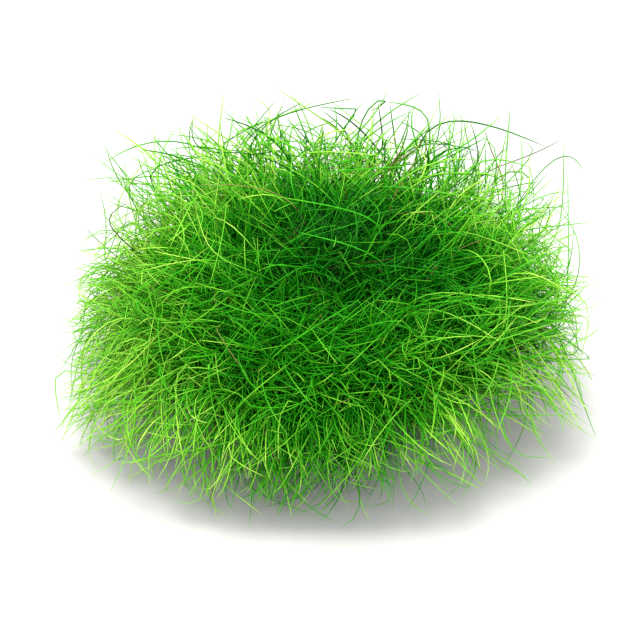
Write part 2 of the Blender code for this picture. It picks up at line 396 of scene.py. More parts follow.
@dataclass(frozen=True)
class LeafFinish:
    """Fresh hairgrass leaves: a leaf's hue comes from its tint, which carries painted light and shade from its place
    in the mat, and changes from root to tip, with painted shade near the root and painted light towards the tip.
    """

    # The hues run from the near-black green that stands for painted shade to the pale yellow-green of painted light;
    # the last one is the brown of dry leaves.
    hues: tuple[tuple[float, Colour], ...] = (
        (0.00, (0.0003, 0.050, 0.0001)),
        (0.25, (0.002, 0.150, 0.0003)),
        (0.50, (0.030, 0.335, 0.003)),
        (0.75, (0.200, 0.570, 0.030)),
        (0.94, (0.440, 0.740, 0.090)),
        (0.965, (0.160, 0.150, 0.040)),
    )
    # Painted shade: the root colour darkens the lower part of each leaf, standing in for the shade deep in the mat.
    root: Colour = (0.0003, 0.038, 0.0002)
    tip: Colour = (0.200, 0.400, 0.060)
    painted_root_shade: float = 0.90
    # Painted light: the tint is raised along the outer part of each leaf, standing in for light through the leaf tips.
    painted_tip_light: float = 0.12

    def material(self) -> bpy.types.Material:
        """Builds the finish, which reads each leaf's tint and length from its own map."""
        s = ShaderSketch("leaf_green")
        flat = s.node("ShaderNodeUVMap", uv_map=LEAF_MAP).outputs["UV"]
        parts = s.node("ShaderNodeSeparateXYZ", {"Vector": flat}).outputs
        tint, along = parts["X"], parts["Y"]
        # Painted light: the fresh leaf's tint is raised towards its tip.
        fresh_tint_and_tip_light = s.maths("MINIMUM", s.maths("ADD", tint, s.spread(along, 0.60, 1.0, 0.0, self.painted_tip_light)), 0.935)
        dry = s.maths("GREATER_THAN", tint, 0.95)
        hue = s.ramp(s.maths("MAXIMUM", fresh_tint_and_tip_light, dry), self.hues)
        # Painted shade: the lower part of each leaf is darkened towards the root colour.
        root = s.maths("MULTIPLY", s.spread(along, 0.10, 0.60, 1.0, 0.0), self.painted_root_shade)
        colour = s.mix(s.spread(along, 0.94, 0.98, 0.0, 0.20), s.mix(root, hue, self.root), self.tip)
        streaks = s.grain(s.vectors("MULTIPLY", flat, (160.0, 14.0, 1.0)), 1.0, 3.0)
        colour = s.mix(1.0, colour, s.ramp(streaks, ((0.3, (0.80, 0.80, 0.80)), (0.7, (1.0, 1.0, 1.0)))), "MULTIPLY")
        s.surface("Base Color", colour)
        s.surface("Roughness", s.spread(streaks, 0.2, 0.8, 0.40, 0.56))
        s.surface("Specular IOR Level", 0.08)
        return s.material


@dataclass(frozen=True)
class GlazeFinish:
    """Dark moss-green glaze over buff stoneware: thin on the rim's edge and absent from the foot."""

    deep: Colour = (0.012, 0.036, 0.014)
    body: Colour = (0.030, 0.078, 0.026)
    thin: Colour = (0.120, 0.110, 0.045)
    clay: Colour = (0.330, 0.240, 0.150)
    bare_height: float = 1.2 * MM
    rim_height: float = 28.0 * MM

    def material(self) -> bpy.types.Material:
        """Builds the finish from each point's place on the bowl."""
        s = ShaderSketch("moss_glaze")
        place = s.place()
        height = s.node("ShaderNodeSeparateXYZ", {"Vector": place}).outputs["Z"]
        clouds = s.grain(place, 60.0, 4.0, 0.6)
        specks = s.grain(place, 900.0, 2.0)
        glaze = s.mix(s.spread(clouds, 0.35, 0.65, 0.0, 1.0), self.deep, self.body)
        glaze = s.mix(s.spread(specks, 0.66, 0.74, 0.0, 0.6), glaze, self.thin)
        edge = s.maths("ADD", height, s.maths("MULTIPLY", clouds, 1.2 * MM))
        glaze = s.mix(s.spread(edge, self.rim_height - 0.7 * MM, self.rim_height + 0.6 * MM, 0.0, 0.85), glaze, self.thin)
        bare = s.spread(edge, self.bare_height + 0.5 * MM, self.bare_height + 0.8 * MM, 1.0, 0.0)
        grit = s.mix(s.spread(specks, 0.55, 0.7, 0.0, 0.5), self.clay, (0.16, 0.10, 0.06))
        s.surface("Base Color", s.mix(bare, glaze, grit))
        sheen = s.spread(clouds, 0.3, 0.7, 0.12, 0.24)
        s.surface("Roughness", s.maths("MAXIMUM", sheen, s.maths("MULTIPLY", bare, 0.85)))
        s.relief(s.grain(place, 260.0, 2.0), 0.12 * MM, 0.5)
        return s.material


@dataclass(frozen=True)
class SoilFinish:
    """Damp baked-clay soil: near-black brown, with paler dry grains."""

    dark: Colour = (0.020, 0.012, 0.007)
    middle: Colour = (0.060, 0.036, 0.020)
    pale: Colour = (0.135, 0.085, 0.050)

    def material(self) -> bpy.types.Material:
        """Builds the finish from each point's place in the bowl."""
        s = ShaderSketch("clay_soil")
        place = s.place()
        patches = s.grain(place, 220.0, 3.0)
        crumbs = s.grain(place, 1400.0, 4.0, 0.7)
        stops = ((0.30, self.dark), (0.55, self.middle), (0.75, self.pale))
        colour = s.mix(s.spread(crumbs, 0.3, 0.7, 0.0, 0.6), s.ramp(patches, stops), self.dark)
        s.surface("Base Color", colour)
        s.surface("Roughness", s.spread(crumbs, 0.2, 0.8, 0.70, 0.95))
        s.surface("Specular IOR Level", 0.3)
        s.relief(crumbs, 0.25 * MM)
        return s.material


@dataclass(frozen=True)
class FloorFinish:
    """A plain pale studio floor."""

    pale: Colour = (0.45, 0.447, 0.44)

    def material(self) -> bpy.types.Material:
        """Builds a matt finish that is hardly mottled."""
        s = ShaderSketch("pale_floor")
        shade = s.grain(s.place(), 9.0, 2.0)
        colour = s.mix(s.spread(shade, 0.3, 0.7, 0.0, 0.06), self.pale, (0.42, 0.416, 0.407))
        s.surface("Base Color", colour)
        s.surface("Roughness", 0.8)
        s.surface("Specular IOR Level", 0.1)
        return s.material


# ---- the bowl and what fills it

# The map's tint across carries painted light and shade from each leaf's place in the mat, added to the leaf's own
# random tint.
LEAF_MAP = "OFBake"  # each leaf's own map: its tint across, and the way from root to tip along


@dataclass
class Bowl:
    """A low, wide bowl turned on a wheel."""

    height: float
    rim_radius: float
    foot_radius: float = 44.0 * MM
    wall: float = 3.4 * MM
    floor: float = 4.0 * MM
    foot_chamfer: float = 1.0 * MM
    wall_sweep: float = 0.7
    wall_points: int = 16
    rim_points: int = 8
    steps: int = 128

    @classmethod
    def from_frame(cls) -> "Bowl":
        """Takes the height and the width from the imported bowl."""
        low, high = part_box("bowl")
        return cls(height=high.z, rim_radius=(high.x - low.x) / 2.0)

    def outer_radius(self, height: float) -> float:
        """Gives the outside radius at a height."""
        share = min(max(height / self.height, 0.0), 1.0)
        return self.foot_radius + (self.rim_radius - self.foot_radius) * share**self.wall_sweep

    def inner_radius(self, height: float) -> float:
        """Gives the inside radius at a height."""
        return self.outer_radius(height) - self.wall

    def profile(self) -> list[tuple[float, float]]:
        """Lists the bowl's outline, from the middle of its underside over the rim to the middle of its floor."""
        half = self.wall / 2.0
        shoulder = self.height - half
        points = [(0.0, 0.0), (self.foot_radius * 0.5, 0.0), (self.foot_radius - self.foot_chamfer, 0.0)]
        points.append((self.foot_radius - 0.3 * self.foot_chamfer, 0.12 * self.foot_chamfer))
        rise = shoulder - self.foot_chamfer
        heights = [self.foot_chamfer + rise * step / self.wall_points for step in range(self.wall_points + 1)]
        points += [(self.outer_radius(z), z) for z in heights]
        middle = self.outer_radius(shoulder) - half
        for step in range(1, self.rim_points):
            angle = math.pi * step / self.rim_points
            points.append((middle + half * math.cos(angle), shoulder + half * math.sin(angle)))
        drop = shoulder - self.floor
        heights = [shoulder - drop * step / self.wall_points for step in range(self.wall_points + 1)]
        points += [(self.inner_radius(z), z) for z in heights[:-1]]
        base = self.inner_radius(self.floor)
        points += [(base - 0.8 * MM, self.floor + 0.5 * MM), (base - 2.5 * MM, self.floor), (base / 2.0, self.floor)]
        return points + [(0.0, self.floor)]

    def build(self) -> bpy.types.Object:
        """Turns the bowl and glazes it."""
        bowl = turned("glazed_bowl", self.profile(), self.steps)
        bowl.data.materials.append(GlazeFinish(rim_height=self.height).material())
        report(bowl, ["bowl"])
        return bowl


@dataclass
class Soil:
    """Baked-clay soil, heaped a little towards the middle of the bowl."""

    bowl: Bowl
    edge_height: float = 24.5 * MM
    mound: float = 3.0 * MM
    gap: float = 0.3 * MM
    top_points: int = 26
    wall_points: int = 8
    steps: int = 96
    roughness: float = 0.35 * MM
    wave: float = 3.0 * MM
    grain_radius: float = 0.95 * MM
    grain_gap: float = 1.9 * MM
    seed: int = 5

    def height(self, radius: float) -> float:
        """Gives the soil's height at a distance from the middle."""
        share = min(radius / self.bowl.inner_radius(self.edge_height), 1.0)
        return self.edge_height + self.mound * (1.0 - share**2)

    def profile(self) -> list[tuple[float, float]]:
        """Lists the soil's outline, from the middle of its underside to the middle of its top."""
        bottom = self.bowl.floor + self.gap
        rise = self.edge_height - bottom - self.gap
        heights = [bottom + 2.0 * MM + (rise - 2.0 * MM) * step / self.wall_points for step in range(self.wall_points + 1)]
        clear = self.gap + 0.2 * MM
        points = [(0.0, bottom), (self.bowl.inner_radius(bottom) - 3.5 * MM, bottom)]
        points += [(self.bowl.inner_radius(z) - clear, z) for z in heights]
        edge = self.bowl.inner_radius(self.edge_height) - clear
        for step in range(self.top_points + 1):
            radius = edge * (1.0 - step / self.top_points)
            points.append((radius, self.height(radius) - self.roughness))
        return points

    def build(self) -> list[bpy.types.Object]:
        """Makes the bed and its loose grains."""
        finish = SoilFinish().material()
        bed = turned("soil_bed", self.profile(), self.steps)
        top = self.edge_height - 2.0 * self.roughness
        for vertex in bed.data.vertices:
            if vertex.co.z > top:
                vertex.co.z += self.roughness * noise.noise(vertex.co / self.wave)
        bed.data.materials.append(finish)
        grains = self.grains(finish)
        report(bed, ["soil"])
        report(grains)
        return [bed, grains]

    def grains(self, finish: bpy.types.Material) -> bpy.types.Object:
        """Scatters baked-clay grains over the bed.

        Args:
            finish: the soil's finish.

        Returns:
            The grains, as one mesh.
        """
        g = GrowthSketch("scattered_grains")
        radius = g.named("Grain radius", "Float", self.grain_radius)
        gap = g.named("Grain gap", "Float", self.grain_gap)
        seed = g.named("Seed", "Int", self.seed)
        material = g.named("Finish", "Material", finish)
        scatter = g.node(
            "GeometryNodeDistributePointsOnFaces",
            {
                "Mesh": g.entry.outputs["Geometry"],
                "Distance Min": gap,
                "Density Max": 400000.0,
                "Seed": seed,
            },
            distribute_method="POISSON",
        )
        grain = g.node("GeometryNodeMeshIcoSphere", {"Radius": radius, "Subdivisions": 1}).outputs["Mesh"]
        lumpy = g.random_vector(7, (-0.0002,) * 3, (0.0002,) * 3)
        grain = g.node("GeometryNodeSetPosition", {"Geometry": grain, "Offset": lumpy}).outputs["Geometry"]
        grain = g.node("GeometryNodeSetShadeSmooth", {"Geometry": grain, "Shade Smooth": True}).outputs["Geometry"]
        turn = g.random_vector(g.maths("ADD", seed, 1), (0.0,) * 3, (2.0 * math.pi,) * 3)
        size = g.random_vector(g.maths("ADD", seed, 2), (0.65, 0.65, 0.5), (1.25, 1.25, 0.95))
        copies = g.node(
            "GeometryNodeInstanceOnPoints",
            {"Points": scatter.outputs["Points"], "Instance": grain, "Rotation": turn, "Scale": size},
        )
        g.finish(copies.outputs["Instances"], material)
        edge = self.bowl.inner_radius(self.edge_height) - 1.6 * MM
        rows = 12
        points = [(edge * step / rows, self.height(edge * step / rows) - 0.2 * MM) for step in range(rows + 1)]
        return g.grow(self.sheet(points), "clay_grains")

    def sheet(self, points: Sequence[tuple[float, float]]) -> bpy.types.Object:
        """Turns an open line into the sheet that the grains lie on."""
        bm = bmesh.new()
        rows = []
        for radius, height in points:
            count = self.steps if radius > 0.0 else 1
            angles = (2.0 * math.pi * step / self.steps for step in range(count))
            rows.append([bm.verts.new((radius * math.cos(a), radius * math.sin(a), height)) for a in angles])
        for low, high in zip(rows, rows[1:]):
            for step in range(self.steps):
                ahead = (step + 1) % self.steps
                corners = [low[step % len(low)], high[step], high[ahead], low[ahead % len(low)]]
                bm.faces.new(list(dict.fromkeys(corners)))
        mesh = bpy.data.meshes.new("grain_sheet")
        bm.to_mesh(mesh)
        bm.free()
        return link("grain_sheet", mesh)


# ---- the grass


@dataclass
class Lock:
    """One lock of a solid tuft: the middle line that a bundle of leaves follows."""

    line: list[Vector]
    ring: Ring

    @property
    def tip(self) -> Vector:
        """Gives the lock's free end."""
        return self.line[-1]

    @property
    def hangs(self) -> bool:
        """Tells whether the lock falls over the rim."""
        return self.tip.z < self.line[0].z


def locks_of(node: str, ring: Ring) -> list[Lock]:
    """Reads the middle lines of a solid tuft's locks.

    Args:
        node: the tuft's name.
        ring: the ring that it stands in.

    Returns:
        The locks. Each line runs from the crown to the tip.
    """
    bm = bmesh.new()
    bm.from_mesh(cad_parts[node].data)
    bmesh.ops.remove_doubles(bm, verts=bm.verts, dist=1e-6)
    locks = []
    for vertex in bm.verts:
        if len(vertex.link_edges) != 3:
            continue
        section = [edge.other_vert(vertex) for edge in vertex.link_edges]
        line = [vertex.co.copy()]
        seen = {vertex, *section}
        while len(section) == 3:
            line.append(sum((corner.co for corner in section), Vector()) / 3.0)
            if len(line) == 5:
                break
            reached = (edge.other_vert(corner) for corner in section for edge in corner.link_edges)
            section = list(dict.fromkeys(corner for corner in reached if corner not in seen))
            seen.update(section)
        if len(line) == 5:
            locks.append(Lock(line[::-1], ring))
    bm.free()
    return locks


@dataclass
class Cushion:
    """The mat's outer shape: how far leaves reach in each direction, and how high."""

    reaches: tuple[float, ...] = (0.084, 0.092, 0.098, 0.088, 0.108, 0.100, 0.105, 0.083)
    shoulders: tuple[float, ...] = (1.00, 0.92, 1.00, 0.98, 0.54, 0.76, 0.94, 1.00)
    mosts: tuple[float, ...] = (1.40, 1.30, 1.34, 1.36, 1.26, 1.14, 1.12, 1.22)
    leasts: tuple[float, ...] = (0.72, 0.78, 0.84, 0.90, 0.98, 0.94, 1.00, 0.90)
    lows: tuple[float, ...] = (21.0, 18.0, 12.0, 10.0, 3.0, 0.0, 0.0, 2.0)
    drops: tuple[float, ...] = (5.0, 6.0, 8.0, 8.0, 10.0, 11.0, 14.0, 17.0)
    middle: float = 30.0 * MM
    rise: float = 50.8 * MM
    shape: float = 4.0
    low_edge: float = 25.0 * MM
    high_edge: float = 45.0 * MM
    thinning: float = 0.72
    thin_from: float = 24.0 * MM
    thin_to: float = 58.0 * MM
    tall_side: float = 100.0 * DEGREE
    tall_share: float = 0.12
    tall_radius: float = 69.0 * MM

    def between(self, values: Sequence[float], azimuth: float) -> float:
        """Gives the value of a direction.

        Args:
            values: the values of evenly spread directions, anticlockwise from +X.
            azimuth: the direction.

        Returns:
            The value, eased from one of those directions to the next.
        """
        turn = azimuth / (2.0 * math.pi) * len(values)
        first = math.floor(turn)
        share = (1.0 - math.cos(math.pi * (turn - first))) / 2.0
        low, high = values[first % len(values)], values[(first + 1) % len(values)]
        return low + (high - low) * share

    def fullness(self, place: Vector) -> float:
        """Gives the share of its leaves that a standing lock has, which falls towards the back of the crest."""
        back = min(max((place.y - self.thin_from) / (self.thin_to - self.thin_from), 0.0), 1.0)
        return 1.0 - self.thinning * back

    def lift(self, place: Vector) -> float:
        """Gives how steeply a standing lock's leaves rise, which grows towards the back of the crest."""
        return 0.75 + 0.45 * min(max(place.y / self.thin_to, 0.0), 1.0) ** 2

    def rise_at(self, place: Vector) -> float:
        """Gives the mat's height above its middle, which is larger towards its tall side."""
        across = place.x * math.cos(self.tall_side) + place.y * math.sin(self.tall_side)
        return self.rise * (1.0 + self.tall_share * across / self.tall_radius)


@dataclass
class LeafBundles:
    """A group of tufts, grown as single leaves along their locks."""

    name: str
    nodes: list[str]
    ring: Ring
    bowl: Bowl
    cushion: Cushion
    leaves: int = 42
    hanging_leaves: int = 72
    radius: float = 0.232 * MM
    root_spread: float = 4.8 * MM
    tip_spread: float = 23.0 * MM
    hanging_scatter: float = 0.78
    hanging_extra: float = 5.0 * MM
    tip_fall: float = 14.0 * MM
    bend: float = 18.0 * MM
    wave: float = 6.5 * MM
    hanging_curl: float = 1.35
    flick: float = 9.0 * MM
    shortest: float = 0.42
    hanging_shortest: float = 0.74
    points: int = 12
    spare: float = 4.5 * MM
    step: float = 4.6 * MM
    least: float = 0.76
    hanging_least: float = 0.88
    # Painted light: how much the tint of leaves far from the mat's deepest point is raised on each side, how much on
    # the crest and at the front, and the most in all.
    painted_light_by_side: tuple[float, ...] = (0.74, 0.50, 0.56, 0.63, 0.74, 0.78, 0.45, 0.98)
    painted_crest_light: float = 0.56
    crest_girth: float = 1.45
    crest_shade: float = 0.90
    most_painted_light: float = 0.68
    painted_front_light: float = 0.24
    crest_side: tuple[float, float, float] = (0.0, 0.5, 0.866)
    # The point in the mat where the painted light is least, so the painted shade is deepest.
    deepest: tuple[float, float, float] = (8.0 * MM, -8.0 * MM, 30.0 * MM)
    seed: int = 11

    def guides(self) -> bpy.types.Object:
        """Draws the locks' middle lines as edges that carry each lock's own numbers."""
        locks = [lock for node in self.nodes for lock in locks_of(node, self.ring)]
        for lock in locks:
            if lock.hangs:
                extra = Vector((lock.tip.x, lock.tip.y, 0.0)).normalized() * self.hanging_extra
                azimuth = math.atan2(lock.tip.y, lock.tip.x)
                extra.z = -min(self.cushion.between(self.cushion.drops, azimuth) * MM, lock.tip.z)
                lock.line.append(lock.tip + extra)
        places = [place for lock in locks for place in lock.line]
        edges = []
        numbers: dict[str, list[float]] = {
            key: [] for key in ("leaves", "reach", "shoulder", "least", "most", "low", "rise", "glow", "shortest", "scatter", "stands", "lift", "curl")
        }
        for lock in locks:
            first = len(numbers["leaves"])
            edges += [(first + step, first + step + 1) for step in range(len(lock.line) - 1)]
            azimuth = math.atan2(lock.tip.y, lock.tip.x)
            own = {
                "leaves": self.hanging_leaves if lock.hangs else round(self.leaves * self.cushion.fullness(lock.tip)),
                "reach": self.cushion.between(self.cushion.reaches, azimuth),
                "shoulder": self.cushion.between(self.cushion.shoulders, azimuth),
                "least": (self.hanging_least if lock.hangs else self.least) * self.cushion.between(self.cushion.leasts, azimuth),
                "most": self.cushion.between(self.cushion.mosts, azimuth),
                "low": self.cushion.between(self.cushion.lows, azimuth) * MM,
                "rise": self.cushion.rise_at(lock.tip),
                "shortest": self.hanging_shortest if lock.hangs else self.shortest + 0.2 * (1.0 - self.cushion.fullness(lock.tip)) / self.cushion.thinning,
                "scatter": self.hanging_scatter if lock.hangs else 1.0,
                "stands": not lock.hangs,
                "lift": 0.0 if lock.hangs else self.cushion.lift(lock.tip),
                "curl": self.hanging_curl if lock.hangs else 1.0 + 0.5 * (1.0 - self.cushion.fullness(lock.tip)) / self.cushion.thinning,
                # Painted light: the lock's share of it for its side.
                "glow": self.cushion.between(self.painted_light_by_side, azimuth),
            }
            for key, value in own.items():
                numbers[key] += [float(value)] * len(lock.line)
        mesh = bpy.data.meshes.new(f"{self.name}_lines")
        mesh.from_pydata(places, edges, [])
        for key, values in numbers.items():
            mesh.attributes.new(key, "FLOAT", "POINT").data.foreach_set("value", values)
        return link(f"{self.name}_lines", mesh)

    def tree(self, finish: bpy.types.Material) -> GrowthSketch:
        """Draws the tree that turns middle lines into leaves.

        Args:
            finish: the leaves' finish.

        Returns:
            The tree.
        """
        g = GrowthSketch("leaf_growth")
        radius = g.named("Leaf radius", "Float", self.radius)
        root_spread = g.named("Root spread", "Float", self.root_spread)
        tip_spread = g.named("Tip spread", "Float", self.tip_spread)
        tip_fall = g.named("Tip fall", "Float", self.tip_fall)
        bend = g.named("Bend", "Float", self.bend)
        wave = g.named("Wave", "Float", self.wave)
        flick = g.named("Outward flick", "Float", self.flick)
        points = g.named("Points", "Int", self.points)
        step = g.named("Step", "Float", self.step)
        spare = g.named("Spare room", "Float", self.spare)
        seed = g.named("Seed", "Int", self.seed)
        material = g.named("Finish", "Material", finish)

        def seeded(step: int) -> bpy.types.NodeSocket:
            """Gives one of the fixed seeds that follow the tree's own."""
            return g.maths("ADD", seed, step)

        lines = g.node("GeometryNodeMeshToCurve", {"Mesh": g.entry.outputs["Geometry"]}).outputs["Curve"]
        lines = g.node("GeometryNodeCurveSplineType", {"Curve": lines}, spline_type="CATMULL_ROM").outputs["Curve"]
        lines = g.node("GeometryNodeSetSplineResolution", {"Geometry": lines, "Resolution": 8}).outputs["Geometry"]
        copies = g.node(
            "GeometryNodeDuplicateElements", {"Geometry": lines, "Amount": g.attribute("leaves")}, domain="SPLINE"
        ).outputs["Geometry"]
        shortest, scatter = g.attribute("shortest"), g.attribute("scatter")
        length = g.maths("POWER", g.random(seeded(1)), 0.5)
        length = g.maths("MULTIPLY_ADD", length, g.maths("SUBTRACT", 1.0, shortest), shortest)
        sphere = ((-1.0, -1.0, -0.6), (1.0, 1.0, 1.0))
        disc = ((-1.0, -1.0, 0.0), (1.0, 1.0, 0.0))
        tint = g.maths("MULTIPLY_ADD", g.maths("POWER", g.random(seeded(6)), 1.9), 0.38, -0.12)
        loose = g.maths("POWER", g.random(seeded(5)), 2.5)
        least = g.attribute("least")
        loose = g.maths("MULTIPLY_ADD", loose, g.maths("SUBTRACT", g.attribute("most"), least), least)
        dry = g.maths("LESS_THAN", g.random(seeded(7)), 0.006)
        tip = g.vectors("SCALE", g.random_vector(seeded(3), *disc), by=g.maths("MULTIPLY", tip_spread, scatter))
        bow = g.maths("MULTIPLY_ADD", g.maths("POWER", g.random(seeded(10)), 3.0), 1.2, 0.95)
        bow = g.maths("MULTIPLY", g.maths("MULTIPLY", bow, bend), scatter)
        fall = g.maths("ADD", g.random(seeded(9), -1.0, 0.8), g.attribute("lift"))
        fall = g.maths("MULTIPLY", fall, tip_fall)
        tip = g.vectors("ADD", tip, g.node("ShaderNodeCombineXYZ", {"Z": fall}).outputs["Vector"])
        copies, own = g.capture(
            copies,
            "CURVE",
            {
                "length": ("FLOAT", length),
                "root": ("VECTOR", g.vectors("SCALE", g.random_vector(seeded(2), *disc), by=root_spread)),
                "tip": ("VECTOR", tip),
                "bow": ("VECTOR", g.vectors("SCALE", g.random_vector(seeded(4), *sphere), by=bow)),
                "wave": ("VECTOR", g.vectors("SCALE", g.random_vector(seeded(13), *sphere), by=g.maths("MULTIPLY", wave, g.attribute("curl")))),
                "flick": ("FLOAT", g.maths("MULTIPLY", flick, g.maths("MULTIPLY_ADD", g.attribute("stands"), -0.35, 1.0))),
                "limit": ("FLOAT", loose),
                "spare": ("FLOAT", g.maths("MULTIPLY", g.maths("POWER", g.random(seeded(14)), 1.5), spare)),
                "tint": ("FLOAT", tint),
                "dry": ("FLOAT", dry),
                "glow": ("FLOAT", g.attribute("glow")),
                "girth": ("FLOAT", g.random(seeded(8), 0.75, 1.15)),
                "shine": ("FLOAT", g.random(seeded(15), 0.4, 1.5)),
                "shade": ("FLOAT", g.maths("POWER", g.random(seeded(16)), 2.5)),
                "reach": ("FLOAT", g.attribute("reach")),
                "shoulder": ("FLOAT", g.attribute("shoulder")),
                "rise": ("FLOAT", g.attribute("rise")),
                "low": ("FLOAT", g.maths("MULTIPLY", g.attribute("low"), g.random(seeded(12), 0.2, 1.2))),
            },
        )
        cut = g.node(
            "GeometryNodeTrimCurve", {"Curve": copies, "Start": 0.0, "End": own["length"]}, mode="FACTOR"
        ).outputs["Curve"]
        leaves = g.node("GeometryNodeResampleCurve", {"Curve": cut, "Count": points}, mode="COUNT").outputs["Curve"]
        path = g.node("GeometryNodeInputPosition").outputs["Position"]
        along = g.node("GeometryNodeSplineParameter").outputs["Factor"]
        trial = self.past_rim(g, g.vectors("ADD", path, self.sway(g, own, along)), path)
        leaves, inner = g.capture(leaves, "CURVE", {"share": ("FLOAT", self.first_way_out(g, trial, own, points))})
        end = g.maths("MAXIMUM", inner["share"], 0.3)
        leaves = g.node(
            "GeometryNodeTrimCurve", {"Curve": leaves, "Start": 0.0, "End": end}, mode="FACTOR"
        ).outputs["Curve"]
        leaves = g.node("GeometryNodeResampleCurve", {"Curve": leaves, "Count": points}, mode="COUNT").outputs["Curve"]
        leaves, way = g.capture(
            leaves, "POINT", {"along": ("FLOAT", g.node("GeometryNodeSplineParameter").outputs["Factor"])}
        )
        sway = g.vectors("SCALE", self.sway(g, own, way["along"]), by=g.maths("SQRT", end))
        place = self.past_rim(g, g.vectors("ADD", path, sway), path)
        leaves = g.node("GeometryNodeSetPosition", {"Geometry": leaves, "Position": place}).outputs["Geometry"]
        smooth = g.node(
            "GeometryNodeBlurAttribute", {"Value": path, "Iterations": 2, "Weight": 0.6}, data_type="FLOAT_VECTOR"
        )
        place = smooth.outputs["Value"]
        leaves = g.node("GeometryNodeSetPosition", {"Geometry": leaves, "Position": place}).outputs["Geometry"]
        leaves, inner = g.capture(leaves, "CURVE", {"share": ("FLOAT", self.first_way_out(g, path, own, points))})
        leaves = g.node(
            "GeometryNodeDeleteGeometry", {"Geometry": leaves, "Selection": g.maths("LESS_THAN", inner["share"], 0.25)}, domain="CURVE"
        ).outputs["Geometry"]
        leaves = g.node("GeometryNodeCurveSplineType", {"Curve": leaves}, spline_type="CATMULL_ROM").outputs["Curve"]
        leaves = g.node("GeometryNodeSetSplineResolution", {"Geometry": leaves, "Resolution": 4}).outputs["Geometry"]
        end = inner["share"]
        leaves = g.node(
            "GeometryNodeTrimCurve", {"Curve": leaves, "Start": 0.0, "End": end}, mode="FACTOR"
        ).outputs["Curve"]
        leaves = g.node("GeometryNodeResampleCurve", {"Curve": leaves, "Length": step}, mode="LENGTH").outputs["Curve"]
        place = self.boxed(g, path, own)
        leaves = g.node("GeometryNodeSetPosition", {"Geometry": leaves, "Position": place}).outputs["Geometry"]
        along = g.node("GeometryNodeSplineParameter").outputs["Factor"]
        leaves, way = g.capture(leaves, "POINT", {"along": ("FLOAT", along), "place": ("VECTOR", path)})
        along = way["along"]
        thick = g.maths("MULTIPLY", radius, own["girth"])
        thick = g.maths("MULTIPLY", thick, g.spread(along, 0.0, 0.25, 0.7, 1.0))
        thin = g.maths("SUBTRACT", 1.0, g.maths("MULTIPLY", g.maths("POWER", along, 10.0), 0.72))
        thick = g.maths("MULTIPLY", thick, thin)
        crest = g.vectors("DOT_PRODUCT", way["place"], self.crest_side)
        thick = g.maths("MULTIPLY", thick, g.spread(crest, 66.0 * MM, 90.0 * MM, 1.0, self.crest_girth))
        profile = g.node("GeometryNodeCurvePrimitiveCircle", {"Resolution": 3, "Radius": 1.0}, mode="RADIUS")
        index = g.node("GeometryNodeInputIndex").outputs["Index"]
        profile, sides = g.capture(
            profile.outputs["Curve"], "POINT", {"around": ("FLOAT", g.maths("SUBTRACT", index, 1.0))}
        )
        mesh = g.node(
            "GeometryNodeCurveToMesh",
            {"Curve": leaves, "Profile Curve": profile, "Scale": thick, "Fill Caps": True},
        ).outputs["Mesh"]
        # Painted light and shade: the tint rises with distance from the mat's deepest point, on the crest's outer
        # shell and at the front, and falls again on some crest leaves, standing in for shade deep in the mat and light
        # on its outside.
        out = g.vectors("LENGTH", g.vectors("MULTIPLY", g.vectors("SUBTRACT", way["place"], self.deepest), (1.0, 1.0, 0.5)))
        glow = g.maths("MULTIPLY", g.spread(out, 25.0 * MM, 92.0 * MM, 0.0, 1.0), own["glow"])
        # Painted shade: some crest leaves lose part of the painted light.
        shade = g.maths("MULTIPLY", g.spread(crest, 56.0 * MM, 84.0 * MM, 0.0, self.crest_shade), own["shade"])
        # Painted light on the crest, strongest on the mat's outer shell.
        crest = g.maths("MULTIPLY", g.spread(crest, 36.0 * MM, 86.0 * MM, 0.0, self.painted_crest_light), own["shine"])
        outer = g.vectors("SUBTRACT", way["place"], (0.0, 0.0, 15.0 * MM))
        outer = g.vectors("LENGTH", g.vectors("MULTIPLY", outer, (10.0, 10.0, 15.0)))
        crest = g.maths("MULTIPLY", crest, g.spread(outer, 0.74, 0.98, 0.1, 1.3))
        glow = g.maths("MINIMUM", g.maths("ADD", glow, crest), self.most_painted_light)
        glow = g.maths("MULTIPLY", glow, g.maths("SUBTRACT", 1.0, shade))
        front = g.vectors("DOT_PRODUCT", way["place"], (0.0, -1.0, 0.0))
        glow = g.maths("ADD", glow, g.spread(front, 80.0 * MM, 91.0 * MM, 0.0, self.painted_front_light))
        # The tint is the leaf's own random tint plus the painted light.
        tint = g.maths("ADD", own["tint"], glow)
        tint = g.node("ShaderNodeClamp", {"Value": tint, "Min": 0.0, "Max": 0.93}).outputs["Result"]
        tint = g.maths("MAXIMUM", tint, g.maths("MULTIPLY", own["dry"], 0.99))
        across = g.maths("MULTIPLY_ADD", tint, 0.98, 0.01)
        across = g.maths("ADD", across, g.maths("MULTIPLY", sides["around"], 0.0025))
        down = g.maths("MULTIPLY_ADD", along, 0.975, 0.01)
        down = g.maths("ADD", down, g.maths("MULTIPLY", g.maths("ABSOLUTE", sides["around"]), 0.005))
        spot = g.node("ShaderNodeCombineXYZ", {"X": across, "Y": down}).outputs["Vector"]
        mesh = g.node(
            "GeometryNodeStoreNamedAttribute",
            {"Geometry": mesh, "Name": LEAF_MAP, "Value": spot},
            data_type="FLOAT2",
            domain="CORNER",
        ).outputs["Geometry"]
        mesh = g.node("GeometryNodeSetShadeSmooth", {"Geometry": mesh, "Shade Smooth": True}).outputs["Geometry"]
        g.finish(mesh, material)
        return g

